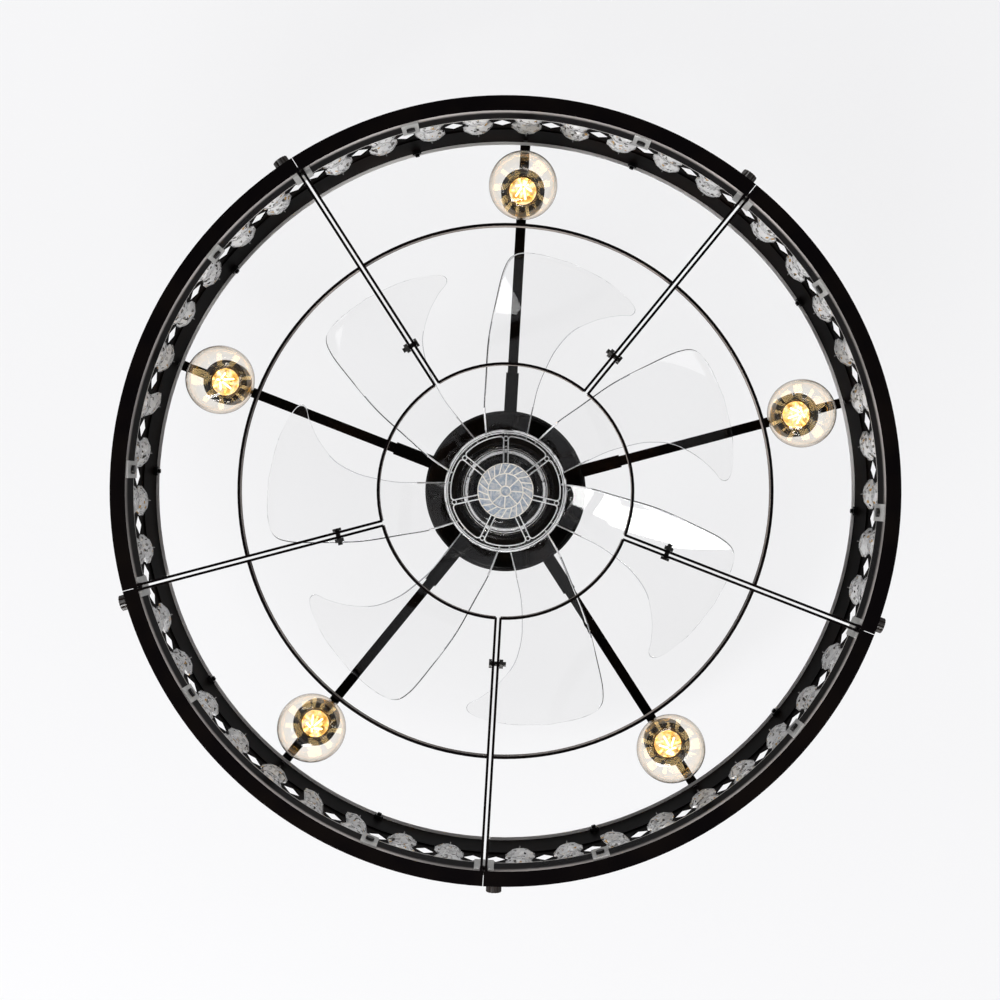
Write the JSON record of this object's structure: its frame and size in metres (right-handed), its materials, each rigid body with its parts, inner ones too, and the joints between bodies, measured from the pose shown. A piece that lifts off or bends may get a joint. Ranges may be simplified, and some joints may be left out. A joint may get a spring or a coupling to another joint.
{
  "type": "chandelier ceiling fan",
  "caption": "Flush ceiling fan: a round black cage with crystal rows, globe lamps on arms, a bolted bottom guard and a clear impeller turned by a motor under the ceiling cup.",
  "frame": {"origin": "on the fan's axis in the ceiling plane, the top face of the ceiling bracket", "axes": "+Z up along the fan's axis, +Y along the first lamp arm, +X to the right seen from above with +Y up"},
  "size_m": [0.503, 0.5111, 0.19],
  "materials": {
    "black_steel": "black powder coat, satin",
    "plated_clip": "zinc plated strip",
    "zinc_screw": "zinc plated",
    "bearing_steel": "ground steel",
    "cast_aluminium": "as cast",
    "laminated_steel": "stacked sheet",
    "copper_winding": "enamelled copper",
    "clear_plastic": "clear moulded, glossy",
    "white_plastic": "white moulded",
    "black_plastic": "black moulded",
    "crystal_glass": "cut, clear",
    "bulb_glass": "faintly amber, clear",
    "bulb_brass": "plated screw base"
  },
  "bodies": {
    "frame": {"ceiling_bracket": "black_steel", "canopy": "black_steel", "canopy_screws": "zinc_screw", "receiver_box": "white_plastic", "terminal_block": "white_plastic", "motor_housing": "black_steel", "arm_sockets": "black_steel", "motor_upper_shield": "cast_aluminium", "motor_lower_shield": "black_steel", "stator_core": "laminated_steel", "stator_windings": "copper_winding", "upper_bearing": "bearing_steel", "lower_bearing": "bearing_steel", "motor_bolts": "zinc_screw", "arm_screws": "zinc_screw", "lamp_holders": "black_plastic", "upper_bands": "black_steel", "band_screws": "zinc_screw", "ring_clips": "plated_clip", "seam_clips": "plated_clip", "clip_screws": "zinc_screw", "crystals_upper": "crystal_glass", "crystals_lower": "crystal_glass", "crystal_pins": "zinc_screw", "guard_bolts": "zinc_screw", "arm_1": "black_steel", "arm_2": "black_steel", "arm_3": "black_steel", "arm_4": "black_steel", "arm_5": "black_steel", "wall_panel_1": "black_steel", "wall_panel_2": "black_steel", "wall_panel_3": "black_steel", "wall_panel_4": "black_steel", "wall_panel_5": "black_steel", "guard_sector_1": "black_steel", "guard_sector_2": "black_steel", "guard_sector_3": "black_steel", "guard_sector_4": "black_steel", "guard_sector_5": "black_steel"},
    "rotor": {"rotor_core": "laminated_steel", "motor_shaft": "zinc_screw", "drive_pin": "zinc_screw", "fan_impeller": "clear_plastic"},
    "spinner": {"spinner_nut": "clear_plastic"},
    "bulb_1": {"bulb_globe_1": "bulb_glass", "bulb_base_1": "bulb_brass"},
    "thumb_1": {"thumb_screw_1": "black_plastic"},
    "bulb_2": {"bulb_globe_2": "bulb_glass", "bulb_base_2": "bulb_brass"},
    "thumb_2": {"thumb_screw_2": "black_plastic"},
    "bulb_3": {"bulb_globe_3": "bulb_glass", "bulb_base_3": "bulb_brass"},
    "thumb_3": {"thumb_screw_3": "black_plastic"},
    "bulb_4": {"bulb_globe_4": "bulb_glass", "bulb_base_4": "bulb_brass"},
    "thumb_4": {"thumb_screw_4": "black_plastic"},
    "bulb_5": {"bulb_globe_5": "bulb_glass", "bulb_base_5": "bulb_brass"},
    "thumb_5": {"thumb_screw_5": "black_plastic"}
  },
  "joints": [
    {"name": "rotor_spin", "type": "hinge", "parent": "frame", "child": "rotor", "pos_m": [0, 0, -0.1], "axis": [0, 0, 1], "continuous": true},
    {"name": "spinner_unscrew", "type": "hinge", "parent": "rotor", "child": "spinner", "pos_m": [0, 0, -0.142], "axis": [0, 0, 1], "range_deg": [0, 1440]},
    {"name": "bulb_1_unscrew", "type": "hinge", "parent": "frame", "child": "bulb_1", "pos_m": [0, 0.201, -0.15], "axis": [0, 0, -1], "range_deg": [0, 1080]},
    {"name": "bulb_2_unscrew", "type": "hinge", "parent": "frame", "child": "bulb_2", "pos_m": [-0.19116, 0.06211, -0.15], "axis": [0, 0, -1], "range_deg": [0, 1080]},
    {"name": "bulb_3_unscrew", "type": "hinge", "parent": "frame", "child": "bulb_3", "pos_m": [-0.11815, -0.16261, -0.15], "axis": [0, 0, -1], "range_deg": [0, 1080]},
    {"name": "bulb_4_unscrew", "type": "hinge", "parent": "frame", "child": "bulb_4", "pos_m": [0.11815, -0.16261, -0.15], "axis": [0, 0, -1], "range_deg": [0, 1080]},
    {"name": "bulb_5_unscrew", "type": "hinge", "parent": "frame", "child": "bulb_5", "pos_m": [0.19116, 0.06211, -0.15], "axis": [0, 0, -1], "range_deg": [0, 1080]},
    {"name": "thumb_screw_1_turn", "type": "hinge", "parent": "frame", "child": "thumb_1", "pos_m": [-0.14124, 0.20628, -0.17], "axis": [-0.565, 0.8251, 0], "range_deg": [0, 1080]},
    {"name": "thumb_screw_2_turn", "type": "hinge", "parent": "frame", "child": "thumb_2", "pos_m": [-0.23983, -0.07058, -0.17], "axis": [-0.9593, -0.2823, 0], "range_deg": [0, 1080]},
    {"name": "thumb_screw_3_turn", "type": "hinge", "parent": "frame", "child": "thumb_3", "pos_m": [-0.00698, -0.2499, -0.17], "axis": [-0.0279, -0.9996, 0], "range_deg": [0, 1080]},
    {"name": "thumb_screw_4_turn", "type": "hinge", "parent": "frame", "child": "thumb_4", "pos_m": [0.23551, -0.08386, -0.17], "axis": [0.9421, -0.3355, 0], "range_deg": [0, 1080]},
    {"name": "thumb_screw_5_turn", "type": "hinge", "parent": "frame", "child": "thumb_5", "pos_m": [0.15254, 0.19807, -0.17], "axis": [0.6101, 0.7923, 0], "range_deg": [0, 1080]}
  ]
}
